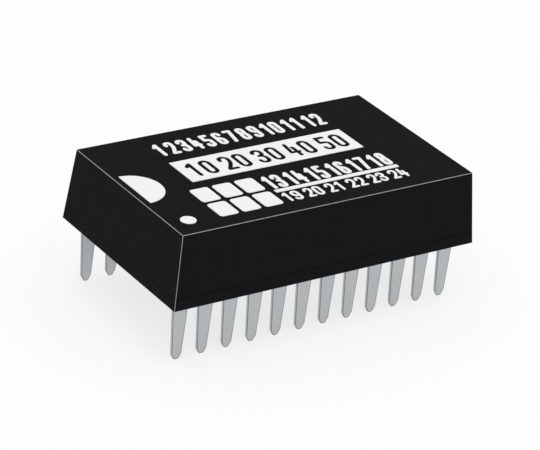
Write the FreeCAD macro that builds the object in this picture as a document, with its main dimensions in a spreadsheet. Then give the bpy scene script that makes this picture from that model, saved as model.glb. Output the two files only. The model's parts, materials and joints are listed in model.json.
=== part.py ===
import FreeCAD, Part
import math
import os
import Sketcher

# A potted dual-in-line memory module, in millimetres. A black moulded case, open below,
# holds a circuit board with the memory chip and its backup cell, all cast in resin, and
# two rows of flat pins come out of the resin. The origin is on the surface that the pin
# tips stand on, in the middle of the pin pattern: X runs along the rows, pin 1 is at
# -X and -Y, and Z is up.

SIZES = (
    ("pins_per_row", 12, "pins in each of the two rows"),
    ("pin_pitch", 2.54, "from pin to pin along a row"),
    ("row_spacing", 15.24, "between the middles of the two rows"),
    ("pin_drop", 5.8, "from the rim of the case down to the pin tips"),
    ("pin_thickness", 0.25, "sheet that the pins are stamped from"),
    ("pin_root_width", 1.55, "blade where it enters the case"),
    ("pin_tip_width", 0.95, "blade just above its point"),
    ("pin_point_width", 0.4, "flat end of the point"),
    ("pin_point_height", 0.5, "chamfered part of the blade"),
    ("pin_point_radius", 0.08, "rounding of the point's corners"),
    ("tang_width", 0.45, "narrow top of the pin, in its hole"),
    ("tang_proud", 0.55, "tang above the board"),
    ("case_end_overhang", 1.73, "rim past the last pin's middle"),
    ("case_side_overhang", 1.78, "rim past the row's middle"),
    ("case_draft", 5.0, "lean of the case's walls, degrees"),
    ("case_wall", 0.7, "side walls of the case"),
    ("case_roof", 1.0, "top of the case"),
    ("case_edge_radius", 0.12, "rounding of the case's outer edges"),
    ("potting_recess", 0.3, "resin surface above the rim"),
    ("underside_room", 1.7, "from the resin surface to the board"),
    ("board_thickness", 0.8, "circuit board"),
    ("board_clearance", 0.15, "board edge to the case, at the board's top"),
    ("hole_diameter", 0.65, "holes for the tangs"),
    ("solder_diameter", 1.3, "foot of each solder cone"),
    ("solder_height", 0.45, "solder cone above the board"),
    ("solder_neck", 0.7, "top of each solder cone"),
    ("cell_diameter", 10.0, "backup cell"),
    ("cell_thickness", 2.5, "backup cell over its cap"),
    ("cell_rim_width", 1.1, "flat rim of the can round the cap"),
    ("cell_cap_step", 0.25, "cap proud of the can's edge"),
    ("cell_edge_radius", 0.3, "rounded edge of the can"),
    ("cell_end_gap", 0.45, "cell to the end of the board"),
    ("tab_thickness", 0.15, "sheet of the cell's two tabs"),
    ("tab_width", 3.0, "width of the tabs"),
    ("tab_lap", 2.5, "tab past the middle of the cell"),
    ("tab_side_gap", 0.1, "cell to the upright of the tab"),
    ("tab_foot", 0.6, "foot of a tab on the board"),
    ("roof_clearance", 0.2, "upper tab to the roof"),
    ("chip_standoff", 0.1, "chips above the board"),
    ("chip_bevel", 0.2, "bevelled edge of the chips"),
    ("memory_width", 7.5, "memory chip across its leads"),
    ("memory_height", 2.3, "memory chip body"),
    ("memory_leads_per_side", 12, "leads on each side of the memory chip"),
    ("memory_lead_pitch", 1.27, "from lead to lead"),
    ("memory_end_margin", 0.72, "chip body past its last lead's middle"),
    ("memory_lead_width", 0.42, "width of a memory chip lead"),
    ("memory_lead_thickness", 0.25, "thickness of a memory chip lead"),
    ("memory_lead_reach", 1.4, "lead out from the memory chip body"),
    ("memory_lead_foot", 0.75, "flat foot of a memory chip lead"),
    ("monitor_width", 3.9, "supply monitor chip across its leads"),
    ("monitor_height", 1.3, "supply monitor chip body"),
    ("monitor_leads_per_side", 4, "leads on each side of the monitor"),
    ("monitor_lead_pitch", 1.27, "from lead to lead"),
    ("monitor_end_margin", 0.55, "chip body past its last lead's middle"),
    ("monitor_lead_width", 0.4, "width of a monitor lead"),
    ("monitor_lead_thickness", 0.2, "thickness of a monitor lead"),
    ("monitor_lead_reach", 1.0, "lead out from the monitor body"),
    ("monitor_lead_foot", 0.6, "flat foot of a monitor lead"),
    ("switch_width", 1.6, "switch transistor across its leads"),
    ("switch_height", 1.0, "switch transistor body"),
    ("switch_leads_per_side", 3, "leads on each side of the transistor"),
    ("switch_lead_pitch", 0.95, "from lead to lead"),
    ("switch_end_margin", 0.5, "body past its last lead's middle"),
    ("switch_lead_width", 0.35, "width of a transistor lead"),
    ("switch_lead_thickness", 0.15, "thickness of a transistor lead"),
    ("switch_lead_reach", 0.6, "lead out from the transistor body"),
    ("switch_lead_foot", 0.35, "flat foot of a transistor lead"),
    ("capacitor_length", 2.0, "chip capacitor"),
    ("capacitor_width", 1.25, "chip capacitor"),
    ("capacitor_height", 1.1, "chip capacitor"),
    ("capacitor_cap", 0.45, "metal end of a chip capacitor"),
    ("resistor_length", 1.6, "chip resistor"),
    ("resistor_width", 0.85, "chip resistor"),
    ("resistor_height", 0.5, "chip resistor"),
    ("resistor_cap", 0.3, "metal end of a chip resistor"),
    ("end_cap_step", 0.04, "metal ends proud of the ceramic"),
    ("diode_length", 3.5, "blocking diode over its end caps"),
    ("diode_diameter", 1.35, "end caps of the diode"),
    ("diode_glass_diameter", 1.2, "glass sleeve of the diode"),
    ("diode_cap", 0.4, "length of a diode end cap"),
    ("parts_column_gap", 1.2, "between the columns of parts below the board"),
    ("parts_row_gap", 2.6, "between the rows of small parts below the board"),
    ("ink_thickness", 0.04, "white ink on the case"),
    ("half_moon_radius", 2.65, "half-moon mark"),
    ("half_moon_edge_gap", 0.6, "half-moon to the edge of the top"),
    ("dot_diameter", 1.4, "pin 1 dot"),
    ("dot_end_gap", 1.9, "dot's middle to the end edge of the top"),
    ("dot_side_gap", 2.2, "dot's middle to the side edge of the top"),
    ("panel_length", 18.0, "white panel along X"),
    ("panel_width", 3.95, "white panel along Y"),
    ("panel_middle_x", -0.05, "middle of the white panel"),
    ("panel_middle_y", 1.27, "middle of the white panel"),
    ("panel_figure_height", 2.6, "figures left open in the panel"),
    ("panel_figure_hole", 0.41, "clear width within a panel figure's loop"),
    ("panel_figure_gap", 0.28, "between the figures of a panel number"),
    ("panel_number_gap", 0.75, "between the panel numbers"),
    ("panel_margin", 0.75, "ends of the panel past its figures"),
    ("upper_gap", 1.35, "panel to the upper numbers"),
    ("upper_figure_height", 2.3, "upper numbers"),
    ("upper_figure_hole", 0.17, "clear width within an upper figure's loop"),
    ("upper_figure_gap", 0.13, "between the figures of a number"),
    ("upper_number_gap", 0.36, "between numbers"),
    ("upper_margin", 0.15, "ends of the panel past the upper numbers"),
    ("lower_start", 3.4, "lower numbers left of the middle of the top"),
    ("lower_gap", 1.5, "panel to the lower numbers"),
    ("lower_figure_height", 2.4, "lower numbers"),
    ("lower_figure_hole", 0.14, "clear width within a lower figure's loop"),
    ("lower_figure_gap", 0.13, "between the figures of a number"),
    ("lower_number_gap", 0.38, "between numbers"),
    ("rule_gap", 0.15, "lower numbers to the rule under them"),
    ("rule_height", 0.5, "rule under the lower numbers"),
    ("rule_length", 13.0, "rule under the lower numbers"),
    ("small_gap", 0.25, "rule to the small numbers"),
    ("small_figure_height", 1.6, "small numbers"),
    ("small_figure_hole", 0.285, "clear width within a small figure's loop"),
    ("small_figure_gap", 0.14, "between the figures of a small number"),
    ("small_number_gap", 0.5, "between small numbers"),
    ("box_columns", 3, "tick boxes side by side"),
    ("box_lines", 2, "tick boxes one below the other"),
    ("box_start", 10.3, "tick boxes left of the middle of the top"),
    ("box_gap_above", 1.25, "panel to the tick boxes"),
    ("box_length", 1.87, "one tick box along X"),
    ("box_width", 2.42, "one tick box along Y"),
    ("box_spacing", 0.4, "between tick boxes"),
    ("box_corner_radius", 0.3, "rounded corners of the tick boxes"),
)

doc = FreeCAD.newDocument("memory_module")
sheet = doc.addObject("Spreadsheet::Sheet", "sizes")
for row, (alias, number, note) in enumerate(SIZES, start=1):
    sheet.set("A%d" % row, alias)
    sheet.set("B%d" % row, str(number))
    sheet.set("C%d" % row, note)
    sheet.setAlias("B%d" % row, alias)
doc.recompute()

# Lengths that follow from the driving sizes, as expressions.
ROW_LENGTH = "((sizes.pins_per_row - 1) * sizes.pin_pitch)"
CASE_LENGTH = "(%s + 2 * sizes.case_end_overhang)" % ROW_LENGTH
CASE_WIDTH = "(sizes.row_spacing + 2 * sizes.case_side_overhang)"
BOARD_BOTTOM = "(sizes.potting_recess + sizes.underside_room)"
BOARD_TOP = "(%s + sizes.board_thickness)" % BOARD_BOTTOM
CELL_STACK = "(2 * sizes.tab_thickness + sizes.cell_thickness)"
CEILING = "(%s + %s + sizes.roof_clearance)" % (BOARD_TOP, CELL_STACK)
CASE_HEIGHT = "(%s + sizes.case_roof)" % CEILING
LEAN = "tan(sizes.case_draft * 1 deg)"
CAVITY_LENGTH = "(%s - 2 * sizes.case_wall)" % CASE_LENGTH
CAVITY_WIDTH = "(%s - 2 * sizes.case_wall)" % CASE_WIDTH
TOP_HALF_LENGTH = "(%s / 2 - %s * %s)" % (CASE_LENGTH, CASE_HEIGHT, LEAN)
TOP_HALF_WIDTH = "(%s / 2 - %s * %s)" % (CASE_WIDTH, CASE_HEIGHT, LEAN)
BOARD_LENGTH = "(%s - 2 * %s * %s - 2 * sizes.board_clearance)" % (CAVITY_LENGTH, BOARD_TOP, LEAN)
BOARD_WIDTH = "(%s - 2 * %s * %s - 2 * sizes.board_clearance)" % (CAVITY_WIDTH, BOARD_TOP, LEAN)
RIM_Z = "sizes.pin_drop"
BOARD_BOTTOM_Z = "(sizes.pin_drop + %s)" % BOARD_BOTTOM
BOARD_TOP_Z = "(sizes.pin_drop + %s)" % BOARD_TOP
CASE_TOP_Z = "(sizes.pin_drop + %s)" % CASE_HEIGHT
CELL_X = "(sizes.cell_end_gap + sizes.cell_diameter / 2 - %s / 2)" % BOARD_LENGTH
MEMORY_X = "((%s + sizes.cell_diameter / 2 + %s / 2) / 2)" % (CELL_X, BOARD_LENGTH)

PANEL_LOW = "(sizes.panel_middle_y - sizes.panel_width / 2)"
PANEL_HIGH = "(sizes.panel_middle_y + sizes.panel_width / 2)"
LOWER_LOW = "(%s - sizes.lower_gap - sizes.lower_figure_height)" % PANEL_LOW
RULE_LOW = "(%s - sizes.rule_gap - sizes.rule_height)" % LOWER_LOW
SMALL_LOW = "(%s - sizes.small_gap - sizes.small_figure_height)" % RULE_LOW
PANEL_NUMBERS = ("10", "20", "30", "40", "50")

# The middle lines of each figure's strokes, in a cell that is 1 wide and 1 high. A corner
# marked ROUND is rounded as far as its two sides allow. A stroke has a bend and doesn't
# meet itself, so a figure with a loop has several.
ROUND = "round"
FIGURE_STROKES = {
    "0": (
        ((0.5, 1.0), (0.0, 1.0, ROUND), (0.0, 0.0, ROUND), (0.5, 0.0)),
        ((0.5, 1.0), (1.0, 1.0, ROUND), (1.0, 0.0, ROUND), (0.5, 0.0)),
    ),
    "1": (((0.1, 0.8), (0.6, 1.0), (0.6, 0.0)),),
    "2": (
        ((0.0, 0.76), (0.0, 1.0, ROUND), (1.0, 1.0, ROUND), (1.0, 0.55, ROUND), (0.0, 0.0), (1.0, 0.0)),
    ),
    "3": (
        ((0.0, 0.8), (0.0, 1.0, ROUND), (1.0, 1.0, ROUND), (1.0, 0.54, ROUND), (0.4, 0.54)),
        ((0.4, 0.54), (1.0, 0.54, ROUND), (1.0, 0.0, ROUND), (0.0, 0.0, ROUND), (0.0, 0.2)),
    ),
    "4": (
        ((0.2, 1.0), (0.0, 0.3), (1.0, 0.3)),
        ((0.68, 0.68), (0.74, 0.64), (0.74, 0.0)),
    ),
    "5": (
        ((0.95, 1.0), (0.05, 1.0), (0.05, 0.58), (1.0, 0.58, ROUND), (1.0, 0.3)),
        ((1.0, 0.3), (1.0, 0.0, ROUND), (0.0, 0.0, ROUND), (0.0, 0.18)),
    ),
    "6": (
        ((1.0, 0.82), (1.0, 1.0, ROUND), (0.0, 1.0, ROUND), (0.0, 0.0, ROUND), (0.5, 0.0)),
        ((0.5, 0.0), (1.0, 0.0, ROUND), (1.0, 0.56, ROUND), (0.0, 0.56)),
    ),
    "7": (((0.0, 1.0), (1.0, 1.0), (0.35, 0.0)),),
    "8": (
        ((0.5, 1.0), (0.05, 1.0, ROUND), (0.05, 0.54, ROUND), (0.5, 0.54)),
        ((0.5, 1.0), (0.95, 1.0, ROUND), (0.95, 0.54, ROUND), (0.5, 0.54)),
        ((0.5, 0.54), (0.0, 0.54, ROUND), (0.0, 0.0, ROUND), (0.5, 0.0)),
        ((0.5, 0.54), (1.0, 0.54, ROUND), (1.0, 0.0, ROUND), (0.5, 0.0)),
    ),
    "9": (
        ((0.0, 0.18), (0.0, 0.0, ROUND), (1.0, 0.0, ROUND), (1.0, 1.0, ROUND), (0.5, 1.0)),
        ((0.5, 1.0), (0.0, 1.0, ROUND), (0.0, 0.44, ROUND), (1.0, 0.44)),
    ),
}

TINY = 1e-6


def value(expression):
    """The number that an expression of the sheet gives now."""
    result = sheet.evalExpression(expression)
    return float(getattr(result, "Value", result))


def new_body(label, place=("0", "0", "0"), turned_over=False):
    """An empty body whose place is bound to the sheet."""
    body = doc.addObject("PartDesign::Body", label)
    body.Label = label
    if turned_over:
        body.Placement = FreeCAD.Placement(FreeCAD.Vector(), FreeCAD.Rotation(FreeCAD.Vector(1, 0, 0), 180))
    for axis, expression in zip("xyz", place):
        body.setExpression("Placement.Base." + axis, expression)
    return body


def origin_item(body, role):
    """One of the body's own origin planes or axes, by its role."""
    return next(item for item in body.Origin.OriginFeatures if item.Role == role)


def new_sketch(body, name, role, shift=("0", "0", "0")):
    """An empty sketch on one of the body's origin planes, shifted in its own axes."""
    sketch = body.newObject("Sketcher::SketchObject", name)
    sketch.AttachmentSupport = [(origin_item(body, role), "")]
    sketch.MapMode = "FlatFace"
    for axis, expression in zip("xyz", shift):
        if expression != "0":
            sketch.setExpression("AttachmentOffset.Base." + axis, expression)
    return sketch


def add_outline(sketch, corners):
    """A closed outline of straight lines whose corners are bound to the sheet."""
    points = [FreeCAD.Vector(value(across), value(up), 0) for across, up in corners]
    first = sketch.GeometryCount
    count = len(points)
    for index in range(count):
        line = Part.LineSegment(points[index], points[(index + 1) % count])
        sketch.addGeometry(line, False)
    for index in range(count):
        following = first + (index + 1) % count
        sketch.addConstraint(Sketcher.Constraint("Coincident", first + index, 2, following, 1))
    for index, (across, up) in enumerate(corners):
        for kind, expression, number in (
            ("DistanceX", across, points[index].x),
            ("DistanceY", up, points[index].y),
        ):
            constraint = Sketcher.Constraint(kind, -1, 1, first + index, 1, number)
            place = sketch.addConstraint(constraint)
            sketch.setExpression("Constraints[%d]" % place, expression)


def add_rectangle(sketch, length, width, middle=("0", "0")):
    """A rectangle about a middle point."""
    left = "%s - %s / 2" % (middle[0], length)
    right = "%s + %s / 2" % (middle[0], length)
    low = "%s - %s / 2" % (middle[1], width)
    high = "%s + %s / 2" % (middle[1], width)
    add_outline(sketch, ((left, low), (right, low), (right, high), (left, high)))


def add_circle(sketch, radius, middle=("0", "0")):
    """A circle whose radius and middle are bound to the sheet."""
    place = FreeCAD.Vector(value(middle[0]), value(middle[1]), 0)
    normal = FreeCAD.Vector(0, 0, 1)
    index = sketch.addGeometry(Part.Circle(place, normal, value(radius)), False)
    for kind, expression, number in (
        ("DistanceX", middle[0], place.x),
        ("DistanceY", middle[1], place.y),
    ):
        constraint = Sketcher.Constraint(kind, -1, 1, index, 3, number)
        sketch.setExpression("Constraints[%d]" % sketch.addConstraint(constraint), expression)
    constraint = Sketcher.Constraint("Radius", index, value(radius))
    sketch.setExpression("Constraints[%d]" % sketch.addConstraint(constraint), radius)


def add_pad(body, name, sketch, length, both_ways=False, lean=None, downward=False):
    """A pad of a sketch; a lean narrows it away from the sketch."""
    pad = body.newObject("PartDesign::Pad", name)
    pad.Profile = sketch
    pad.setExpression("Length", length)
    pad.Midplane = both_ways
    pad.Reversed = downward
    if lean:
        pad.setExpression("TaperAngle", "-" + lean)
    sketch.Visibility = False
    doc.recompute()
    return pad


def add_pocket(body, name, sketch, length, lean=None, through_all=False):
    """A pocket that cuts upward from its sketch, or both ways through all."""
    pocket = body.newObject("PartDesign::Pocket", name)
    pocket.Profile = sketch
    if through_all:
        pocket.Type = "ThroughAll"
        pocket.Midplane = True
    else:
        pocket.setExpression("Length", length)
        pocket.Reversed = True
    if lean:
        pocket.setExpression("TaperAngle", "-" + lean)
    doc.recompute()
    return pocket


def add_row(body, name, originals, count, length):
    """Copies of features in a row along X."""
    row_pattern = body.newObject("PartDesign::LinearPattern", name)
    row_pattern.Originals = originals
    row_pattern.Direction = (origin_item(body, "X_Axis"), [""])
    row_pattern.setExpression("Length", length)
    row_pattern.setExpression("Occurrences", count)
    body.Tip = row_pattern
    doc.recompute()
    return row_pattern


def edges_where(feature, wanted):
    """The names of the edges that the test picks."""
    return ["Edge%d" % index for index, edge in enumerate(feature.Shape.Edges, start=1) if wanted(edge)]


def add_fillet(body, name, base, radius, wanted):
    """A fillet on the edges of the base feature that the test picks."""
    fillet = body.newObject("PartDesign::Fillet", name)
    fillet.Base = (base, edges_where(base, wanted))
    fillet.setExpression("Radius", radius)
    doc.recompute()
    return fillet


def make_case():
    """The moulded case: leaning walls, rounded outer edges and a cavity open below."""
    body = new_body("case", ("0", "0", RIM_Z))
    outer = new_sketch(body, "case_rim_outline", "XY_Plane")
    add_rectangle(outer, CASE_LENGTH, CASE_WIDTH)
    block = add_pad(body, "case_block", outer, CASE_HEIGHT, lean="sizes.case_draft")
    add_fillet(
        body, "case_edges", block, "sizes.case_edge_radius", lambda edge: edge.BoundBox.ZMax > TINY
    )
    inner = new_sketch(body, "case_cavity_outline", "XY_Plane")
    add_rectangle(inner, CAVITY_LENGTH, CAVITY_WIDTH)
    add_pocket(body, "case_cavity", inner, CEILING, lean="sizes.case_draft")
    return body


def make_pin(number):
    """One flat stamped pin: a tapered blade, a shoulder under the board and a tang."""
    per_row = int(value("sizes.pins_per_row"))
    front = number <= per_row
    step = number - 1 if front else 2 * per_row - number
    side = "-" if front else ""
    place = (
        "%d * sizes.pin_pitch - %s / 2" % (step, ROW_LENGTH),
        side + "sizes.row_spacing / 2",
        "0",
    )
    body = new_body("pin_%02d" % number, place)
    sketch = new_sketch(body, "pin_outline_%02d" % number, "XZ_Plane")
    right_side = (
        ("sizes.pin_point_width / 2", "0"),
        ("sizes.pin_tip_width / 2", "sizes.pin_point_height"),
        ("sizes.pin_root_width / 2", RIM_Z),
        ("sizes.pin_root_width / 2", BOARD_BOTTOM_Z),
        ("sizes.tang_width / 2", BOARD_BOTTOM_Z),
        ("sizes.tang_width / 2", "%s + sizes.tang_proud" % BOARD_TOP_Z),
    )
    left_side = tuple(("-" + across, up) for across, up in reversed(right_side))
    add_outline(sketch, right_side + left_side)
    blade = add_pad(body, "pin_blade_%02d" % number, sketch, "sizes.pin_thickness", both_ways=True)
    point_top = value("sizes.pin_point_height") + TINY

    def across_the_point(edge):
        box = edge.BoundBox
        return box.ZMax < point_top and box.XLength < TINY and box.ZLength < TINY

    add_fillet(body, "pin_point_%02d" % number, blade, "sizes.pin_point_radius", across_the_point)
    return body


def make_board():
    """The circuit board, with a hole for each pin's tang."""
    body = new_body("circuit_board", ("0", "0", BOARD_BOTTOM_Z))
    plate = new_sketch(body, "board_outline", "XY_Plane")
    add_rectangle(plate, BOARD_LENGTH, BOARD_WIDTH)
    add_pad(body, "board_plate", plate, "sizes.board_thickness")
    holes = new_sketch(body, "board_first_holes", "XY_Plane")
    for side in ("-", ""):
        add_circle(holes, "sizes.hole_diameter / 2", ("-%s / 2" % ROW_LENGTH, side + "sizes.row_spacing / 2"))
    pocket = add_pocket(body, "board_first_hole_pair", holes, None, through_all=True)
    add_row(body, "board_hole_rows", [pocket], "sizes.pins_per_row", ROW_LENGTH)
    return body


def make_solder_joints():
    """A solder cone and the filled hole round each tang, as separate solids."""
    body = new_body("pin_solder_joints", ("0", "0", BOARD_TOP_Z))
    body.AllowCompound = True
    middles = [("-%s / 2" % ROW_LENGTH, side + "sizes.row_spacing / 2") for side in ("-", "")]
    sleeve = new_sketch(body, "solder_sleeves", "XY_Plane")
    slot = new_sketch(body, "solder_slots", "XY_Plane")
    for middle in middles:
        add_circle(sleeve, "sizes.hole_diameter / 2", middle)
        add_rectangle(slot, "sizes.tang_width", "sizes.pin_thickness", middle)
    fills = add_pad(body, "solder_fills", sleeve, "sizes.board_thickness", downward=True)
    cones = []
    for middle in middles:
        cone = body.newObject("PartDesign::AdditiveCone", "solder_cone")
        cone.AttachmentSupport = [(origin_item(body, "XY_Plane"), "")]
        cone.MapMode = "FlatFace"
        cone.setExpression("AttachmentOffset.Base.x", middle[0])
        cone.setExpression("AttachmentOffset.Base.y", middle[1])
        cone.setExpression("Radius1", "sizes.solder_diameter / 2")
        cone.setExpression("Radius2", "sizes.solder_neck / 2")
        cone.setExpression("Height", "sizes.solder_height")
        doc.recompute()
        cones.append(cone)
    slots = add_pocket(body, "solder_tang_slots", slot, None, through_all=True)
    add_row(body, "solder_rows", [fills] + cones + [slots], "sizes.pins_per_row", ROW_LENGTH)
    return body


def make_cell():
    """The sealed coin cell, lying on its cap."""
    body = new_body("battery_cell", (CELL_X, "0", "%s + sizes.tab_thickness" % BOARD_TOP_Z))
    sketch = new_sketch(body, "cell_profile", "XZ_Plane")
    cap_edge = "(sizes.cell_diameter / 2 - sizes.cell_rim_width)"
    add_outline(
        sketch,
        (
            ("0", "0"),
            (cap_edge, "0"),
            (cap_edge, "sizes.cell_cap_step"),
            ("sizes.cell_diameter / 2", "sizes.cell_cap_step"),
            ("sizes.cell_diameter / 2", "sizes.cell_thickness"),
            ("0", "sizes.cell_thickness"),
        ),
    )
    can = body.newObject("PartDesign::Revolution", "cell_can")
    can.Profile = sketch
    can.ReferenceAxis = (sketch, ["V_Axis"])
    can.Angle = 360.0
    doc.recompute()
    rim = value("sizes.cell_diameter / 2")
    add_fillet(
        body,
        "cell_rounded_edge",
        can,
        "sizes.cell_edge_radius",
        lambda edge: abs(edge.BoundBox.XMax - rim) < TINY and edge.BoundBox.ZLength < TINY,
    )
    return body


def make_tabs():
    """The two spot-welded tabs: one over the can and down to the board, one under the cap."""
    place = (CELL_X, "0", BOARD_TOP_Z)
    upper = new_body("battery_tab_positive", place)
    profile = new_sketch(upper, "upper_tab_profile", "YZ_Plane")
    cell_top = "sizes.tab_thickness + sizes.cell_thickness"
    tab_top = "2 * sizes.tab_thickness + sizes.cell_thickness"
    inside = "sizes.cell_diameter / 2 + sizes.tab_side_gap"
    outside = "%s + sizes.tab_thickness" % inside
    toe = "%s + sizes.tab_foot" % outside
    add_outline(
        profile,
        (
            ("-sizes.tab_lap", cell_top),
            (inside, cell_top),
            (inside, "0"),
            (toe, "0"),
            (toe, "sizes.tab_thickness"),
            (outside, "sizes.tab_thickness"),
            (outside, tab_top),
            ("-sizes.tab_lap", tab_top),
        ),
    )
    add_pad(upper, "upper_tab_strip", profile, "sizes.tab_width", both_ways=True)
    lower = new_body("battery_tab_negative", place)
    strip = new_sketch(lower, "lower_tab_outline", "XY_Plane")
    half = "sizes.tab_width / 2"
    toe_y = "-(sizes.cell_diameter / 2 + sizes.tab_foot)"
    add_outline(
        strip,
        (("-" + half, toe_y), (half, toe_y), (half, "sizes.tab_lap"), ("-" + half, "sizes.tab_lap")),
    )
    add_pad(lower, "lower_tab_strip", strip, "sizes.tab_thickness")
    return [upper, lower]


def make_chip(label, kind, place, turned_over=False):
    """A moulded chip body and its two rows of bent leads; kind names its sizes."""
    sizes = {
        name: "sizes.%s_%s" % (kind, name)
        for name in (
            "width",
            "height",
            "leads_per_side",
            "lead_pitch",
            "end_margin",
            "lead_width",
            "lead_thickness",
            "lead_reach",
            "lead_foot",
        )
    }
    span = "((%(leads_per_side)s - 1) * %(lead_pitch)s)" % sizes
    moulding = new_body(label, place, turned_over)
    outline = new_sketch(moulding, label + "_outline", "XY_Plane", ("0", "0", "sizes.chip_standoff"))
    add_rectangle(outline, "(%s + 2 * %s)" % (span, sizes["end_margin"]), sizes["width"])
    block = add_pad(moulding, label + "_block", outline, sizes["height"])
    top = value("sizes.chip_standoff + " + sizes["height"])
    bevel = moulding.newObject("PartDesign::Chamfer", label + "_bevel")
    bevel.Base = (block, edges_where(block, lambda edge: edge.BoundBox.ZMin > top - TINY))
    bevel.setExpression("Size", "sizes.chip_bevel")
    doc.recompute()

    leads = new_body(label + "_leads", place, turned_over)
    leads.AllowCompound = True
    first = "-%s / 2 - %s / 2" % (span, sizes["lead_width"])
    profile = new_sketch(leads, label + "_lead_profile", "YZ_Plane", ("0", "0", first))
    half_thick = sizes["lead_thickness"] + " / 2"
    exit_height = "sizes.chip_standoff + %s / 2" % sizes["height"]
    side = sizes["width"] + " / 2"
    toe = "(%s + %s)" % (side, sizes["lead_reach"])
    heel = "(%s - %s)" % (toe, sizes["lead_foot"])
    inner_heel = "(%s - %s)" % (heel, sizes["lead_thickness"])
    wing = (
        (toe, "0"),
        (toe, sizes["lead_thickness"]),
        (heel, sizes["lead_thickness"]),
        (heel, "%s + %s" % (exit_height, half_thick)),
        (side, "%s + %s" % (exit_height, half_thick)),
        (side, "%s - %s" % (exit_height, half_thick)),
        (inner_heel, "%s - %s" % (exit_height, half_thick)),
        (inner_heel, "0"),
    )
    add_outline(profile, wing)
    add_outline(profile, tuple(("-" + across, up) for across, up in wing))
    pair = add_pad(leads, label + "_lead_pair", profile, sizes["lead_width"])
    add_row(leads, label + "_lead_rows", [pair], sizes["leads_per_side"], span)
    return [moulding, leads]


def make_end_capped(label, kind, place):
    """A ceramic chip part below the board, with its two metal ends a little proud."""
    length = "sizes.%s_length" % kind
    width = "sizes.%s_width" % kind
    height = "sizes.%s_height" % kind
    cap = "sizes.%s_cap" % kind
    body = new_body(label, place, turned_over=True)
    ceramic = new_sketch(body, label + "_ceramic_outline", "XY_Plane")
    add_rectangle(ceramic, "(%s - 2 * %s)" % (length, cap), "(%s - 2 * sizes.end_cap_step)" % width)
    add_pad(body, label + "_ceramic", ceramic, "%s - sizes.end_cap_step" % height)
    ends = new_sketch(body, label + "_end_outlines", "XY_Plane")
    for side in ("-", ""):
        add_rectangle(ends, cap, width, ("%s(%s - %s) / 2" % (side, length, cap), "0"))
    add_pad(body, label + "_ends", ends, height)
    return body


def make_diode(place):
    """The blocking diode: a glass sleeve between two metal caps, lying under the board."""
    body = new_body("blocking_diode", place, turned_over=True)
    sketch = new_sketch(body, "diode_profile", "XZ_Plane", ("0", "sizes.diode_diameter / 2", "0"))
    end = "sizes.diode_length / 2"
    neck = "(sizes.diode_length / 2 - sizes.diode_cap)"
    add_outline(
        sketch,
        (
            ("-" + end, "0"),
            (end, "0"),
            (end, "sizes.diode_diameter / 2"),
            (neck, "sizes.diode_diameter / 2"),
            (neck, "sizes.diode_glass_diameter / 2"),
            ("-" + neck, "sizes.diode_glass_diameter / 2"),
            ("-" + neck, "sizes.diode_diameter / 2"),
            ("-" + end, "sizes.diode_diameter / 2"),
        ),
    )
    turned = body.newObject("PartDesign::Revolution", "diode_turned")
    turned.Profile = sketch
    turned.ReferenceAxis = (sketch, ["H_Axis"])
    turned.Angle = 360.0
    doc.recompute()
    return body


def make_board_parts():
    """Everything soldered to the board except the pins and the cell."""
    parts = make_chip("memory_chip", "memory", (MEMORY_X, "0", BOARD_TOP_Z))
    half_lengths = {}
    for kind in ("monitor", "switch"):
        half_span = "(sizes.%s_leads_per_side - 1) * sizes.%s_lead_pitch / 2" % (kind, kind)
        half_lengths[kind] = "(%s + sizes.%s_end_margin)" % (half_span, kind)
    monitor_x = "(-%s - sizes.parts_column_gap - sizes.capacitor_length / 2)" % half_lengths["monitor"]
    resistor_x = "(sizes.capacitor_length / 2 + sizes.parts_column_gap + sizes.resistor_length / 2)"
    last_half = "max(sizes.diode_length / 2; %s)" % half_lengths["switch"]
    last_x = "(%s + sizes.resistor_length / 2 + sizes.parts_column_gap + %s)" % (resistor_x, last_half)
    parts += make_chip("supply_monitor", "monitor", (monitor_x, "0", BOARD_BOTTOM_Z), turned_over=True)
    parts += make_chip(
        "switch_transistor", "switch", (last_x, "sizes.parts_row_gap", BOARD_BOTTOM_Z), turned_over=True
    )
    parts.append(make_diode((last_x, "-sizes.parts_row_gap", BOARD_BOTTOM_Z)))
    for number, row_place in enumerate(("-sizes.parts_row_gap", "sizes.parts_row_gap"), start=1):
        place = ("0", row_place, BOARD_BOTTOM_Z)
        parts.append(make_end_capped("capacitor_%d" % number, "capacitor", place))
    for number, row_place in enumerate(("-sizes.parts_row_gap", "0", "sizes.parts_row_gap"), start=1):
        place = (resistor_x, row_place, BOARD_BOTTOM_Z)
        parts.append(make_end_capped("resistor_%d" % number, "resistor", place))
    return parts


def make_potting(embedded):
    """The cast resin: it fills the case round everything that it holds."""
    block = new_body("potting_block", ("0", "0", "%s + sizes.potting_recess" % RIM_Z))
    outline = new_sketch(block, "potting_outline", "XY_Plane")
    narrowing = "2 * sizes.potting_recess * " + LEAN
    add_rectangle(outline, "(%s - %s)" % (CAVITY_LENGTH, narrowing), "(%s - %s)" % (CAVITY_WIDTH, narrowing))
    add_pad(block, "potting_fill", outline, "%s - sizes.potting_recess" % CEILING, lean="sizes.case_draft")
    contents = doc.addObject("Part::MultiFuse", "potted_contents")
    contents.Shapes = embedded
    potting = doc.addObject("Part::Cut", "potting")
    potting.Base = block
    potting.Tool = contents
    doc.recompute()
    return potting


def new_ink(label):
    """An empty body for a flat ink mark on the top of the case."""
    return new_body(label, ("0", "0", CASE_TOP_Z))


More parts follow.
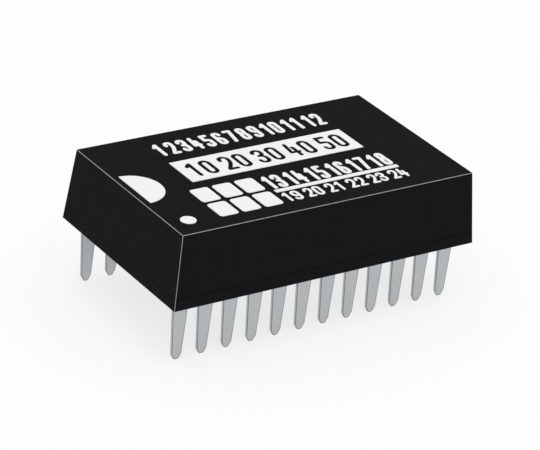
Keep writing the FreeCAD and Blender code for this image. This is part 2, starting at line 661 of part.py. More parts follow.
def make_marks():
    """The half-moon at the pin 1 end, the pin 1 dot, the rule and the tick boxes."""
    moon = new_ink("half_moon_mark")
    flat_x = "(sizes.half_moon_edge_gap - %s)" % TOP_HALF_LENGTH
    disc = new_sketch(moon, "half_moon_disc", "XY_Plane")
    add_circle(disc, "sizes.half_moon_radius", (flat_x, "0"))
    add_pad(moon, "half_moon_pad", disc, "sizes.ink_thickness")
    half = new_sketch(moon, "half_moon_cut", "XY_Plane")
    reach = "(2 * sizes.half_moon_radius)"
    add_rectangle(half, reach, "2 * " + reach, ("%s - %s / 2" % (flat_x, reach), "0"))
    add_pocket(moon, "half_moon_flat", half, None, through_all=True)

    dot = new_ink("pin_one_dot")
    spot = new_sketch(dot, "dot_outline", "XY_Plane")
    add_circle(
        spot,
        "sizes.dot_diameter / 2",
        ("sizes.dot_end_gap - %s" % TOP_HALF_LENGTH, "sizes.dot_side_gap - %s" % TOP_HALF_WIDTH),
    )
    add_pad(dot, "dot_pad", spot, "sizes.ink_thickness")

    rule = new_ink("number_rule")
    bar = new_sketch(rule, "rule_outline", "XY_Plane")
    middle = ("(sizes.rule_length / 2 - sizes.lower_start)", "(%s + sizes.rule_height / 2)" % RULE_LOW)
    add_rectangle(bar, "sizes.rule_length", "sizes.rule_height", middle)
    add_pad(rule, "rule_pad", bar, "sizes.ink_thickness")

    boxes = new_ink("tick_boxes")
    boxes.AllowCompound = True
    grid = new_sketch(boxes, "tick_box_outlines", "XY_Plane")
    first_x = "-sizes.box_start + sizes.box_length / 2"
    first_y = "%s - sizes.box_gap_above - sizes.box_width / 2" % PANEL_LOW
    for column in range(int(value("sizes.box_columns"))):
        for line in range(int(value("sizes.box_lines"))):
            across = "(%s + %d * (sizes.box_length + sizes.box_spacing))" % (first_x, column)
            down = "(%s - %d * (sizes.box_width + sizes.box_spacing))" % (first_y, line)
            add_rectangle(grid, "sizes.box_length", "sizes.box_width", (across, down))
    pad = add_pad(boxes, "tick_box_pad", grid, "sizes.ink_thickness")
    add_fillet(
        boxes,
        "tick_box_corners",
        pad,
        "sizes.box_corner_radius",
        lambda edge: edge.BoundBox.XLength < TINY and edge.BoundBox.YLength < TINY,
    )
    return [moon, dot, rule, boxes]


def rounded_corner(before, corner, after):
    """The arc that rounds a corner between a point before it and a point after it."""
    reach = min((before - corner).Length, (after - corner).Length)
    back = (before - corner).normalize()
    onward = (after - corner).normalize()
    half_angle = back.getAngle(onward) / 2
    inward = (back + onward).normalize()
    middle = corner + inward * reach * (1 - math.sin(half_angle)) / math.cos(half_angle)
    return Part.Arc(corner + back * reach, middle, corner + onward * reach).toShape()


def stroke_path(points, rounded):
    """A path through the points, an arc at each that is marked as rounded."""
    edges = []
    place = points[0]
    last = len(points) - 1
    for index in range(1, last):
        before, corner, after = points[index - 1:index + 2]
        if rounded[index]:
            if index > 1:
                before = (before + corner) / 2
            if index < last - 1:
                after = (after + corner) / 2
            arc = rounded_corner(before, corner, after)
            ends = [vertex.Point for vertex in arc.Vertexes]
            start, end = sorted(ends, key=lambda point: (point - before).Length)
        else:
            arc = None
            start = end = corner
        if (start - place).Length > TINY:
            edges.append(Part.makeLine(place, start))
        if arc:
            edges.append(arc)
        place = end
    if (points[last] - place).Length > TINY:
        edges.append(Part.makeLine(place, points[last]))
    return Part.Wire(edges)


def figure_shape(character, width, height, stroke, thickness):
    """One figure as a flat solid: its strokes widened, with round ends."""
    radius = stroke / 2
    solids = []
    for line in FIGURE_STROKES[character]:
        points = [
            FreeCAD.Vector(radius + corner[0] * (width - stroke), radius + corner[1] * (height - stroke), 0)
            for corner in line
        ]
        path = stroke_path(points, [ROUND in corner for corner in line])
        outline = path.makeOffset2D(radius, 0, False, False, False)
        solids.append(Part.Face(outline).extrude(FreeCAD.Vector(0, 0, thickness)))
    if len(solids) == 1:
        return solids[0]
    return solids[0].multiFuse(solids[1:]).removeSplitter().Solids[0]


def make_numbers(label, kind, numbers, foot, line):
    """A line of plain numbers, a solid for each figure; kind names its sizes.

    The line stands on foot and runs from its left end over its length, which it fills."""
    height = value("sizes.%s_figure_height" % kind)
    figure_gap = value("sizes.%s_figure_gap" % kind)
    number_gap = value("sizes.%s_number_gap" % kind)
    left, length = (value(expression) for expression in line)
    words = [str(number) for number in numbers]
    figure_count = sum(len(word) for word in words)
    gaps = (figure_count - len(words)) * figure_gap + (len(words) - 1) * number_gap
    width = (length - gaps) / figure_count
    stroke = (width - value("sizes.%s_figure_hole" % kind)) / 2
    shapes = []
    along = 0.0
    for word in words:
        for character in word:
            shape = figure_shape(character, width, height, stroke, value("sizes.ink_thickness"))
            shapes.append(shape.translated(FreeCAD.Vector(along, 0, 0)))
            along += width + figure_gap
        along += number_gap - figure_gap
    figures = doc.addObject("Part::Feature", label)
    figures.Shape = Part.makeCompound(shapes)
    figures.Placement = FreeCAD.Placement(
        FreeCAD.Vector(left, value(foot), value(CASE_TOP_Z)), FreeCAD.Rotation()
    )
    return figures


def line_over_panel(margin):
    """The left end and the length of a line that keeps a margin to the panel's ends."""
    left = "(sizes.panel_middle_x - sizes.panel_length / 2 + %s)" % margin
    return (left, "(sizes.panel_length - 2 * %s)" % margin)


def make_print():
    """The white panel with its open figures, and the white numbers above and below it."""
    plate = new_ink("panel_plate")
    outline = new_sketch(plate, "panel_outline", "XY_Plane")
    middle = ("sizes.panel_middle_x", "sizes.panel_middle_y")
    add_rectangle(outline, "sizes.panel_length", "sizes.panel_width", middle)
    add_pad(plate, "panel_pad", outline, "sizes.ink_thickness")
    figure_foot = "sizes.panel_middle_y - sizes.panel_figure_height / 2"
    panel = doc.addObject("Part::Cut", "label_panel")
    panel.Base = plate
    in_panel = line_over_panel("sizes.panel_margin")
    panel.Tool = make_numbers("panel_figures", "panel", PANEL_NUMBERS, figure_foot, in_panel)
    row = int(value("sizes.pins_per_row"))
    middle_number = row + row // 2
    upper_foot = "%s + sizes.upper_gap" % PANEL_HIGH
    over_panel = line_over_panel("sizes.upper_margin")
    upper = make_numbers("upper_numbers", "upper", range(1, row + 1), upper_foot, over_panel)
    over_rule = ("-sizes.lower_start", "sizes.rule_length")
    lower = make_numbers(
        "lower_numbers", "lower", range(row + 1, middle_number + 1), LOWER_LOW, over_rule
    )
    small = make_numbers(
        "small_numbers", "small", range(middle_number + 1, 2 * row + 1), SMALL_LOW, over_rule
    )
    doc.recompute()
    return [panel, upper, lower, small]


def check_document():
    """Stop before anything is written if an object failed."""
    for item in doc.Objects:
        if "Invalid" in item.State or "Error" in item.State:
            raise RuntimeError("%s failed: %s" % (item.Label, item.State))


def write_parts(pieces):
    """One file for each piece, named after it."""
    os.makedirs("parts", exist_ok=True)
    for piece in pieces:
        shape = piece.Shape
        if shape.isNull() or not shape.isValid():
            raise RuntimeError("%s has no valid shape" % piece.Label)
    for piece in pieces:
        piece.Shape.exportStep("parts/%s.step" % piece.Label)


pin_count = 2 * int(value("sizes.pins_per_row"))
pins = [make_pin(number) for number in range(1, pin_count + 1)]
case = make_case()
potted = pins + [make_board(), make_solder_joints(), make_cell()] + make_tabs() + make_board_parts()
potting = make_potting(potted)
marks = make_marks() + make_print()
doc.recompute()
check_document()
write_parts([case, potting] + potted + marks)
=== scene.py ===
import json
import math

import bmesh
import bpy
from mathutils import Matrix, Vector


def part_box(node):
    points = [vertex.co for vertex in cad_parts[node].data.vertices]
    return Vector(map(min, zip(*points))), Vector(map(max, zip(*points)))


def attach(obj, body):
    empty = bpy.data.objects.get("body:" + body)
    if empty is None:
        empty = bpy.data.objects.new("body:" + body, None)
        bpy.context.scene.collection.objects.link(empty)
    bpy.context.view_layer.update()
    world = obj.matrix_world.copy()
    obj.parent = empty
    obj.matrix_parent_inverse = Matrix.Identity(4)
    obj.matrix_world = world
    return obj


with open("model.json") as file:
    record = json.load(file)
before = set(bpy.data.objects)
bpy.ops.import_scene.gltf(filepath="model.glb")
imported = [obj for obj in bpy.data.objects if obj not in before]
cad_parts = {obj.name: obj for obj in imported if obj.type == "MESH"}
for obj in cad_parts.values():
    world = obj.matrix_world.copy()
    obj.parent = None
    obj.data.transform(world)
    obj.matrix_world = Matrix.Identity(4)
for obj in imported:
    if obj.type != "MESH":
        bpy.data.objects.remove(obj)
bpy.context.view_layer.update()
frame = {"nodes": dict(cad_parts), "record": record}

# A potted dual-in-line memory module on a white floor. Its sealed-in parts are carried over
# and finished too. Lengths are in metres, apart from those inside the materials, which work
# in millimetres of the module's own frame.

MM = 0.001


def in_mm(box):
    """The two corners of a box, in millimetres."""
    return tuple(corner / MM for corner in box)


# Sizes that the materials and the added piece share, read from the frame, in millimetres.
CASE_LOW, CASE_HIGH = in_mm(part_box("case"))
RESIN_LOW = in_mm(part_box("potting"))[0]
PINS = sorted(name for name in frame["nodes"] if name.startswith("pin_") and name[4:].isdigit())
PIN_BOXES = {name: in_mm(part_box(name)) for name in PINS}
PIN_LOW, PIN_HIGH = PIN_BOXES[PINS[0]]
PIN_MIDDLE = (PIN_LOW + PIN_HIGH) / 2
PIN_PITCH = PIN_BOXES[PINS[1]][0].x - PIN_LOW.x
BLADE_ROOT_HALF = (PIN_HIGH.x - PIN_LOW.x) / 2
BLADE_THICKNESS = PIN_HIGH.y - PIN_LOW.y

# Sizes that the boxes don't give, in millimetres. The draft is a slope.
CASE_DRAFT = math.tan(math.radians(5.0))
PARTING_HEIGHT = 1.05
BLADE_TIP_HALF = 0.475
BLADE_POINT_HALF = 0.2
BLADE_POINT_HEIGHT = 0.5

# Where a drawn line begins and where it is full, in millimetres from an edge or a middle,
# and how far its edge wanders.
PARTING_FADE = (0.08, 0.03)
# The next line places the highlight painted along the case's edges.
EDGE_HIGHLIGHT_FADE = (0.068, 0.042)
# The next line places the shade painted along the edges of the pins' blades.
EDGE_SHADE_FADE = (0.07, 0.03)
HOLE_RING_FADE = (0.86, 0.82)
LINE_WANDER = 0.03

# From one thread to the next, in millimetres.
INK_MESH_SPACING = 0.14
GLASS_WEAVE_SPACING = 0.5

CASE_BLACK = (0.0076, 0.0089, 0.0102, 1.0)
# The next colour is a highlight painted along the case's edges.
CASE_EDGE_HIGHLIGHT = (0.36, 0.37, 0.375, 1.0)
RESIN_BLACK = (0.008, 0.008, 0.0088, 1.0)
RESIN_HAZE = (0.016, 0.016, 0.017, 1.0)
INK_WHITE = (0.96, 0.96, 0.955, 1.0)
INK_THIN = (0.91, 0.91, 0.905, 1.0)
PINHOLE_GREY = (0.25, 0.25, 0.25, 1.0)
TIN = (0.515, 0.54, 0.55, 1.0)
# The next colour is shade painted along the edges of each pin's blade.
TIN_EDGE_SHADE = (0.12, 0.125, 0.13, 1.0)
MASK_DARK = (0.01, 0.07, 0.025, 1.0)
MASK_PALE = (0.02, 0.12, 0.04, 1.0)
HOLE_RING_TIN = (0.6, 0.6, 0.58, 1.0)

# Finishes that wander between two colours: dark, pale, roughness, patches to a millimetre,
# depth of the grain in millimetres, and 1 for a metal.
SPECKLED = {
    "chip_moulding": ((0.016, 0.016, 0.017, 1.0), (0.03, 0.03, 0.032, 1.0), 0.6, 2.5, 0.006, 0.0),
    "solder": ((0.55, 0.55, 0.56, 1.0), (0.72, 0.72, 0.73, 1.0), 0.28, 1.5, 0.008, 1.0),
    "cell_steel": ((0.6, 0.6, 0.6, 1.0), (0.72, 0.72, 0.71, 1.0), 0.3, 1.2, 0.003, 1.0),
    "nickel_strip": ((0.55, 0.53, 0.5, 1.0), (0.66, 0.64, 0.6, 1.0), 0.33, 2.0, 0.003, 1.0),
}

# Small parts between tinned ends: a node that gives their middle, half the body's length in
# millimetres, the body's colour and its roughness.
END_CAPPED = {
    "diode_glass": ("blocking_diode", 1.35, (0.55, 0.16, 0.05, 1.0), 0.12),
    "capacitor_ceramic": ("capacitor_1", 0.55, (0.42, 0.29, 0.17, 1.0), 0.5),
    "resistor_ceramic": ("resistor_1", 0.5, (0.02, 0.02, 0.022, 1.0), 0.35),
}

# The glow is the share of plain white in the floor as the eye sees it.
FLOOR_RADIUS = 6.0
FLOOR_SIDES = 96
FLOOR_WHITE = (0.97, 0.97, 0.97, 1.0)
FLOOR_GLOW = 0.78

# The studio's brightness by height: a pale wall low down, dimmer above it, bright overhead.
SKY_STOPS = ((0.0, 0.95), (0.17, 0.9), (0.34, 0.45), (0.72, 0.45), (0.86, 1.0))
OVERHEAD_GAIN = 1.5
SUN_STRENGTH = 0.35
SUN_SPREAD = math.radians(50.0)
TOWARD_SUN = Vector((-0.25, -0.35, 1.0))

# The camera looks past the pin 1 corner from a long way off, a little rolled.
CAMERA_AZIMUTH = math.radians(-36.227)
CAMERA_ELEVATION = math.radians(26.939)
CAMERA_ROLL = math.radians(5.996)
CAMERA_DISTANCE = 250.42 * MM
CAMERA_LENS = 189.27
CAMERA_SENSOR = 36.0
CAMERA_CLIP = (0.01, 20.0)
CAMERA_AIM = Vector((-0.543, -0.861, 6.801)) * MM


def add_node(tree, kind, inputs=None, **settings):
    """A node with its settings, each input linked to a socket or set to a value."""
    node = tree.nodes.new(kind)
    for name, setting in settings.items():
        setattr(node, name, setting)
    for key, source in (inputs or {}).items():
        if isinstance(source, bpy.types.NodeSocket):
            tree.links.new(source, node.inputs[key])
        else:
            node.inputs[key].default_value = source
    return node


def calculate(tree, operation, *terms):
    """The result of a Math node."""
    return add_node(tree, "ShaderNodeMath", dict(enumerate(terms)), operation=operation).outputs[0]


def distance_from(tree, coordinate, middle):
    """How far a coordinate lies from a middle, on either side."""
    return calculate(tree, "ABSOLUTE", calculate(tree, "SUBTRACT", coordinate, middle))


def fade(tree, source, start, end, low=0.0, high=1.0):
    """source from start to end, eased, as a number from low to high."""
    return add_node(
        tree,
        "ShaderNodeMapRange",
        {"Value": source, "From Min": start, "From Max": end, "To Min": low, "To Max": high},
        interpolation_type="SMOOTHSTEP",
    ).outputs[0]


def blend(tree, factor, first, second):
    """A mix of two colours."""
    inputs = {0: factor, 6: first, 7: second}
    return add_node(tree, "ShaderNodeMix", inputs, data_type="RGBA").outputs[2]


def noise(tree, place, scale, detail=3.0, roughness=0.55, distortion=0.0):
    """Noise with scale features to a millimetre."""
    inputs = {
        "Vector": place,
        "Scale": scale,
        "Detail": detail,
        "Roughness": roughness,
        "Distortion": distortion,
    }
    return add_node(tree, "ShaderNodeTexNoise", inputs).outputs["Fac"]


def vary(tree, texture, low, high):
    """A number that follows noise from low to high."""
    return fade(tree, texture, 0.3, 0.7, low, high)


def spots(tree, place, scale, size):
    """1 in small scattered round spots and 0 between them."""
    cell = add_node(tree, "ShaderNodeTexVoronoi", {"Vector": place, "Scale": scale})
    return fade(tree, cell.outputs["Distance"], size, size * 0.6)


def weave(tree, across, along, spacing):
    """Crossed waves, a spacing in millimetres from one to the next."""
    rate = 2 * math.pi / spacing
    waves = [
        calculate(tree, "SINE", calculate(tree, "MULTIPLY", coordinate, rate))
        for coordinate in (across, along)
    ]
    return calculate(tree, "MULTIPLY", *waves)


def roughen(tree, distance, texture):
    """A distance that wanders with noise, so that the line drawn by it is uneven."""
    wander = calculate(tree, "MULTIPLY_ADD", texture, LINE_WANDER, -LINE_WANDER / 2)
    return calculate(tree, "ADD", distance, wander)


def bump(tree, height, depth, normal=None):
    """A normal from a height of 0 to 1, whose full depth is in millimetres."""
    inputs = {"Height": height, "Distance": depth * MM, "Strength": 1.0}
    if normal:
        inputs["Normal"] = normal
    return add_node(tree, "ShaderNodeBump", inputs).outputs[0]


def shade(colour, factor):
    """A colour made lighter or darker."""
    return tuple(factor * part for part in colour[:3]) + (1.0,)


def new_material(name, specular=0.5, metallic=0.0):
    """An empty material: its tree, its surface shader and its place in millimetres."""
    material = bpy.data.materials.new(name)
    material.use_nodes = True
    tree = material.node_tree
    tree.nodes.clear()
    constants = {"Specular IOR Level": specular, "Metallic": metallic}
    surface = add_node(tree, "ShaderNodeBsdfPrincipled", constants)
    add_node(tree, "ShaderNodeOutputMaterial", {"Surface": surface.outputs[0]})
    own_place = add_node(tree, "ShaderNodeTexCoord").outputs["Object"]
    place = add_node(
        tree, "ShaderNodeVectorMath", {0: own_place, 3: 1 / MM}, operation="SCALE"
    ).outputs[0]
    return material, tree, surface, place


def split(tree, place):
    """The three coordinates of a place."""
    return add_node(tree, "ShaderNodeSeparateXYZ", {0: place}).outputs


def stretch(tree, place, factors):
    """A place drawn out, so that noise on it becomes streaks."""
    inputs = {0: place, 1: factors}
    return add_node(tree, "ShaderNodeVectorMath", inputs, operation="MULTIPLY").outputs[0]


def connect(tree, surface, **sources):
    """Link the surface's sockets, whose names are written with underscores."""
    for name, source in sources.items():
        tree.links.new(source, surface.inputs[name.replace("_", " ")])


def case_edge_distance(tree, place):
    """How far a point of the case's skin lies from the nearest edge between two faces."""
    across, along, up = split(tree, place)
    drop = calculate(tree, "SUBTRACT", CASE_HIGH.z, up)
    to_faces = [drop]
    for coordinate, half in ((across, CASE_HIGH.x), (along, CASE_HIGH.y)):
        top_half = half - (CASE_HIGH.z - CASE_LOW.z) * CASE_DRAFT
        wall = calculate(tree, "MULTIPLY_ADD", drop, CASE_DRAFT, top_half)
        from_middle = calculate(tree, "ABSOLUTE", coordinate)
        to_faces.append(calculate(tree, "SUBTRACT", wall, from_middle))
    first, second, third = to_faces
    nearer = calculate(tree, "MINIMUM", first, second)
    further = calculate(tree, "MAXIMUM", first, second)
    return calculate(tree, "MAXIMUM", nearer, calculate(tree, "MINIMUM", further, third))


def make_case_plastic():
    """Black moulded plastic: spark-eroded grain, a faint parting line, and a paler highlight
    painted along every edge.
    """
    material, tree, surface, place = new_material("case_plastic", specular=0.018)
    grain = noise(tree, place, 6.0, detail=5.0, roughness=0.65)
    mottle = noise(tree, place, 0.8, detail=5.0)
    sink = noise(tree, place, 0.12, detail=1.0)
    flecks = calculate(tree, "MULTIPLY", spots(tree, place, 2.6, 0.12), 0.35)
    up = split(tree, place)[2]
    off_parting = distance_from(tree, up, CASE_LOW.z + PARTING_HEIGHT)
    parting = fade(tree, off_parting, *PARTING_FADE)
    edge = roughen(tree, case_edge_distance(tree, place), noise(tree, place, 5.0))
    colour = blend(tree, mottle, shade(CASE_BLACK, 0.75), shade(CASE_BLACK, 1.25))
    colour = blend(tree, flecks, colour, shade(CASE_BLACK, 2.5))
    colour = blend(tree, parting, colour, shade(CASE_BLACK, 0.55))
    # A paler line painted along every edge of the case, as a highlight.
    colour = blend(tree, fade(tree, edge, *EDGE_HIGHLIGHT_FADE), colour, CASE_EDGE_HIGHLIGHT)
    relief = bump(tree, grain, 0.015, bump(tree, sink, 0.02))
    connect(
        tree,
        surface,
        Base_Color=colour,
        Roughness=vary(tree, mottle, 0.5, 0.64),
        Normal=bump(tree, parting, 0.01, relief),
    )
    return material


def make_resin():
    """Cast black resin: satin, a little wavy, with a few burst bubbles."""
    material, tree, surface, place = new_material("potting_resin", specular=0.4)
    flow = noise(tree, place, 0.35, detail=2.0, distortion=0.6)
    pits = spots(tree, place, 0.9, 0.09)
    haze = noise(tree, place, 2.2, detail=4.0)
    connect(
        tree,
        surface,
        Base_Color=blend(tree, haze, RESIN_BLACK, RESIN_HAZE),
        Roughness=fade(tree, haze, 0.3, 0.75, 0.22, 0.4),
        Normal=bump(tree, calculate(tree, "SUBTRACT", 1.0, pits), 0.03, bump(tree, flow, 0.12)),
    )
    return material


def make_ink():
    """White screen-print ink: a faint mesh in its skin and a few pinholes."""
    material, tree, surface, place = new_material("white_ink", specular=0.3)
    across, along, _ = split(tree, place)
    patches = noise(tree, place, 1.6, detail=4.0)
    pinholes = spots(tree, place, 1.4, 0.035)
    body = blend(tree, patches, INK_THIN, INK_WHITE)
    connect(
        tree,
        surface,
        Base_Color=blend(tree, pinholes, body, PINHOLE_GREY),
        Roughness=vary(tree, patches, 0.5, 0.7),
        Normal=bump(tree, weave(tree, across, along, INK_MESH_SPACING), 0.0015),
    )
    return material


def distance_from_pin(tree, across):
    """How far a place lies along the row from the middle of the nearest pin."""
    from_first = calculate(tree, "SUBTRACT", across, PIN_MIDDLE.x)
    return calculate(tree, "PINGPONG", from_first, PIN_PITCH / 2)


def blade_edge_distance(tree, place):
    """How far a point of a pin's flat side lies from the outline of its blade."""
    across, _, up = split(tree, place)
    taper = (BLADE_ROOT_HALF - BLADE_TIP_HALF) / (CASE_LOW.z - BLADE_POINT_HEIGHT)
    rise = calculate(tree, "SUBTRACT", up, BLADE_POINT_HEIGHT)
    blade = calculate(tree, "MULTIPLY_ADD", rise, taper, BLADE_TIP_HALF)
    chamfer_slope = (BLADE_TIP_HALF - BLADE_POINT_HALF) / BLADE_POINT_HEIGHT
    point = calculate(tree, "MULTIPLY_ADD", up, chamfer_slope, BLADE_POINT_HALF)
    half = calculate(tree, "MINIMUM", blade, point)
    to_side = calculate(tree, "SUBTRACT", half, distance_from_pin(tree, across))
    return calculate(tree, "MINIMUM", to_side, up)


def blade_edge_shade(tree, place, texture):
    """1 along the edges of a pin's two flat sides, where shade is painted, and 0 elsewhere."""
    edge = roughen(tree, blade_edge_distance(tree, place), texture)
    off_row = calculate(tree, "ABSOLUTE", split(tree, place)[1])
    off_middle = distance_from(tree, off_row, abs(PIN_MIDDLE.y))
    half_thick = BLADE_THICKNESS / 2
    on_flat_side = fade(tree, off_middle, half_thick - 0.03, half_thick - 0.01)
    return calculate(tree, "MULTIPLY", fade(tree, edge, *EDGE_SHADE_FADE), on_flat_side)


def make_tin(name, with_edge_shade=False):
    """Matt tin plating with rolling streaks; on a blade, a darker line painted along its edges as
    shade.
    """
    material, tree, surface, place = new_material(name, metallic=1.0)
    streaks = noise(tree, stretch(tree, place, (9.0, 9.0, 0.5)), 1.0, detail=4.0)
    crystals = noise(tree, place, 4.5, detail=2.0)
    colour = blend(tree, streaks, shade(TIN, 0.9), TIN)
    if with_edge_shade:
        # A darker line painted along the blade's edges, as shade.
        colour = blend(tree, blade_edge_shade(tree, place, crystals), colour, TIN_EDGE_SHADE)
    connect(
        tree,
        surface,
        Base_Color=colour,
        Roughness=vary(tree, crystals, 0.36, 0.5),
        Normal=bump(tree, streaks, 0.003, bump(tree, crystals, 0.004)),
    )
    return material


def make_speckled(name, dark, pale, roughness, scale, depth, metallic):
    """A finish that wanders between two colours, with a fine grain."""
    material, tree, surface, place = new_material(name, metallic=metallic)
    patches = noise(tree, place, scale, detail=4.0)
    grain = noise(tree, place, scale * 4)
    connect(
        tree,
        surface,
        Base_Color=blend(tree, patches, dark, pale),
        Roughness=vary(tree, patches, roughness - 0.06, roughness + 0.06),
        Normal=bump(tree, grain, depth),
    )
    return material


def make_laminate():
    """Green solder mask over a glass weave, with a tinned ring round each pin's hole."""
    material, tree, surface, place = new_material("board_laminate")
    low, high = in_mm(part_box("circuit_board"))
    across, along, up = split(tree, place)
    local = distance_from_pin(tree, across)
    off_row = calculate(tree, "SUBTRACT", calculate(tree, "ABSOLUTE", along), abs(PIN_MIDDLE.y))
    flat = add_node(tree, "ShaderNodeCombineXYZ", {0: local, 1: off_row}).outputs[0]
    radius = add_node(
        tree, "ShaderNodeVectorMath", {0: flat}, operation="LENGTH"
    ).outputs["Value"]
    off_middle = distance_from(tree, up, (low.z + high.z) / 2)
    half_thick = (high.z - low.z) / 2
    on_face = fade(tree, off_middle, half_thick - 0.06, half_thick - 0.03)
    ring = calculate(tree, "MULTIPLY", fade(tree, radius, *HOLE_RING_FADE), on_face)
    mask = blend(tree, noise(tree, place, 0.6), MASK_DARK, MASK_PALE)
    connect(
        tree,
        surface,
        Base_Color=blend(tree, ring, mask, HOLE_RING_TIN),
        Metallic=ring,
        Roughness=fade(tree, ring, 0.0, 1.0, 0.38, 0.3),
        Normal=bump(tree, weave(tree, across, along, GLASS_WEAVE_SPACING), 0.004),
    )
    return material


def make_end_capped(name, node, body_half, body_colour, body_roughness):
    """A ceramic or glass body between two tinned ends."""
    low, high = in_mm(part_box(node))
    material, tree, surface, place = new_material(name)
    off_middle = distance_from(tree, split(tree, place)[0], (low.x + high.x) / 2)
    cap = fade(tree, off_middle, body_half - 0.01, body_half + 0.01)
    patches = noise(tree, place, 3.0)
    body = blend(tree, patches, shade(body_colour, 0.8), body_colour)
    connect(
        tree,
        surface,
        Base_Color=blend(tree, cap, body, TIN),
        Metallic=cap,
        Roughness=fade(tree, cap, 0.0, 1.0, body_roughness, 0.4),
        Normal=bump(tree, patches, 0.006),
    )
    return material


def make_materials():
    """A material for each of the record's slots."""
    materials = {
        "case_plastic": make_case_plastic(),
        "potting_resin": make_resin(),
        "white_ink": make_ink(),
        "tin_plate": make_tin("tin_plate"),
        "board_laminate": make_laminate(),
    }
    for name, finish in SPECKLED.items():
        materials[name] = make_speckled(name, *finish)
    for name, finish in END_CAPPED.items():
        materials[name] = make_end_capped(name, *finish)
    return materials


def dress_nodes(materials):
    """Give each carried-over piece the material of its slot, and the pins their blade finish."""
    slots = {part["node"]: part["material_slot"] for part in frame["record"]["subparts"]}
    blade_tin = make_tin("blade_tin", with_edge_shade=True)
    for name, piece in frame["nodes"].items():
        piece.data.materials.clear()
        piece.data.materials.append(blade_tin if name in PINS else materials[slots[name]])


def outline_points(half_x, half_y, corner):
    """A rectangle with rounded corners about the origin, anticlockwise."""
    steps = 4
    points = []
    for turn, (side_x, side_y) in enumerate(((1, 1), (-1, 1), (-1, -1), (1, -1))):
        middle = Vector((side_x * (half_x - corner), side_y * (half_y - corner)))
        for step in range(steps + 1):
            angle = (turn + step / steps) * math.pi / 2
            points.append(middle + corner * Vector((math.cos(angle), math.sin(angle))))
    return points


def add_ring(mesh, sections):
    """A closed ring: each section is a loop of points, and the last joins the first."""
    loops = [[mesh.verts.new(point) for point in section] for section in sections]
    count = len(loops[0])
    for index, loop in enumerate(loops):
        following = loops[(index + 1) % len(loops)]
        for step in range(count):
            turn = (step + 1) % count
            mesh.faces.new((loop[step], loop[turn], following[turn], following[step]))


def make_meniscus(material):
    """The resin's fillets: where it crept down each blade and down the case's walls."""
    mesh = bmesh.new()
    creep = 0.2
    reach = 0.3
    sink = 0.02
    steps = 6
    curve = []
    for step in range(steps + 1):
        angle = step / steps * math.pi / 2
        curve.append((reach * (1 - math.sin(angle)), creep * (1 - math.cos(angle))))
    curve += [(0.0, -sink), (reach, -sink)]
    for low, high in PIN_BOXES.values():
        middle = (low + high) / 2
        half_x, half_y = (high.x - low.x) / 2, (high.y - low.y) / 2
        sections = []
        for out, down in curve:
            z = RESIN_LOW.z - down
            outline = outline_points(half_x + out, half_y + out, out + sink)
            sections.append([(point.x + middle.x, point.y + middle.y, z) for point in outline])
        add_ring(mesh, sections)
    wall_x, wall_y = abs(RESIN_LOW.x), abs(RESIN_LOW.y)
    sections = []
    for out, down in curve:
        inward = out - down * CASE_DRAFT
        outline = outline_points(wall_x - inward, wall_y - inward, out + sink)
        sections.append([(point.x, point.y, RESIN_LOW.z - down) for point in outline])
    add_ring(mesh, sections)
    bmesh.ops.scale(mesh, vec=(MM, MM, MM), verts=mesh.verts)
    bmesh.ops.recalc_face_normals(mesh, faces=mesh.faces)
    data = bpy.data.meshes.new("resin_meniscus")
    mesh.to_mesh(data)
    mesh.free()
    for face in data.polygons:
        face.use_smooth = True
    data.materials.append(material)
    piece = bpy.data.objects.new("resin_meniscus", data)
    bpy.context.scene.collection.objects.link(piece)
    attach(piece, "root")


def seen_directly(tree):
    """1 for what the eye sees, also in a mirror or through glass, and 0 for the light's paths."""
    path = add_node(tree, "ShaderNodeLightPath").outputs
    reflected = calculate(tree, "MAXIMUM", path["Is Glossy Ray"], path["Is Transmission Ray"])
    return calculate(tree, "MAXIMUM", path["Is Camera Ray"], reflected)


def make_floor():
    """The white floor that the pin tips stand on, with its shadow lightened to the eye."""
    mesh = bmesh.new()
    bmesh.ops.create_circle(mesh, cap_ends=True, segments=FLOOR_SIDES, radius=FLOOR_RADIUS)
    data = bpy.data.meshes.new("floor")
    mesh.to_mesh(data)
    mesh.free()
    material = bpy.data.materials.new("floor_white")
    material.use_nodes = True
    tree = material.node_tree
    tree.nodes.clear()
    paint = add_node(tree, "ShaderNodeBsdfDiffuse", {"Color": FLOOR_WHITE}).outputs[0]
    glow = add_node(
        tree, "ShaderNodeEmission", {"Color": (1.0, 1.0, 1.0, 1.0), "Strength": 1.0}
    ).outputs[0]
    share = calculate(tree, "MULTIPLY", seen_directly(tree), FLOOR_GLOW)
    mixed = add_node(tree, "ShaderNodeMixShader", {0: share, 1: paint, 2: glow}).outputs[0]
    add_node(tree, "ShaderNodeOutputMaterial", {"Surface": mixed})
    data.materials.append(material)
    floor = bpy.data.objects.new("floor", data)
    bpy.context.scene.collection.objects.link(floor)


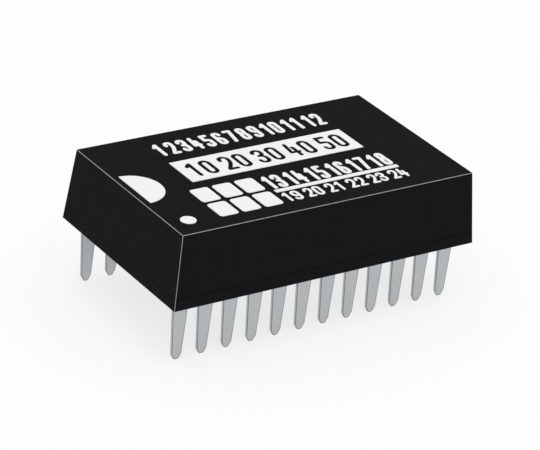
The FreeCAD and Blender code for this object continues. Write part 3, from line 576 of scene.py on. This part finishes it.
def make_world():
    """A soft studio: a pale wall low down, dimmer above it, and a wide soft light overhead."""
    world = bpy.data.worlds.new("studio")
    bpy.context.scene.world = world
    world.use_nodes = True
    tree = world.node_tree
    tree.nodes.clear()
    direction = add_node(tree, "ShaderNodeTexCoord").outputs["Generated"]
    height = split(tree, direction)[2]
    ramp = add_node(tree, "ShaderNodeValToRGB", {0: height})
    ramp.color_ramp.interpolation = "EASE"
    elements = ramp.color_ramp.elements
    while len(elements) < len(SKY_STOPS):
        elements.new(0.5)
    for element, (place, level) in zip(elements, SKY_STOPS):
        element.position = place
        element.color = (level, level, level, 1.0)
    overhead = fade(tree, height, SKY_STOPS[-2][0], SKY_STOPS[-1][0], 1.0, OVERHEAD_GAIN)
    light = {"Color": ramp.outputs[0], "Strength": overhead}
    background = add_node(tree, "ShaderNodeBackground", light)
    add_node(tree, "ShaderNodeOutputWorld", {"Surface": background.outputs[0]})


def make_lamps():
    """One wide soft sun, high up on the camera's side."""
    light = bpy.data.lights.new("soft_sun", "SUN")
    light.energy = SUN_STRENGTH
    light.angle = SUN_SPREAD
    lamp = bpy.data.objects.new("soft_sun", light)
    lamp.rotation_mode = "QUATERNION"
    lamp.rotation_quaternion = TOWARD_SUN.to_track_quat("Z", "Y")
    bpy.context.scene.collection.objects.link(lamp)


def make_camera():
    """The photograph's viewpoint."""
    data = bpy.data.cameras.new("camera")
    data.lens = CAMERA_LENS
    data.sensor_width = CAMERA_SENSOR
    data.clip_start, data.clip_end = CAMERA_CLIP
    camera = bpy.data.objects.new("camera", data)
    level = math.cos(CAMERA_ELEVATION)
    back = Vector(
        (
            math.sin(CAMERA_AZIMUTH) * level,
            -math.cos(CAMERA_AZIMUTH) * level,
            math.sin(CAMERA_ELEVATION),
        )
    )
    upright = back.to_track_quat("Z", "Y").to_matrix().to_4x4()
    roll = Matrix.Rotation(CAMERA_ROLL, 4, "Z")
    place = Matrix.Translation(CAMERA_AIM + CAMERA_DISTANCE * back)
    camera.matrix_world = place @ upright @ roll
    bpy.context.scene.collection.objects.link(camera)
    bpy.context.scene.camera = camera


make_camera()
slot_materials = make_materials()
dress_nodes(slot_materials)
make_meniscus(slot_materials["potting_resin"])
make_floor()
make_world()
make_lamps()
bpy.context.scene.view_settings.view_transform = "Standard"
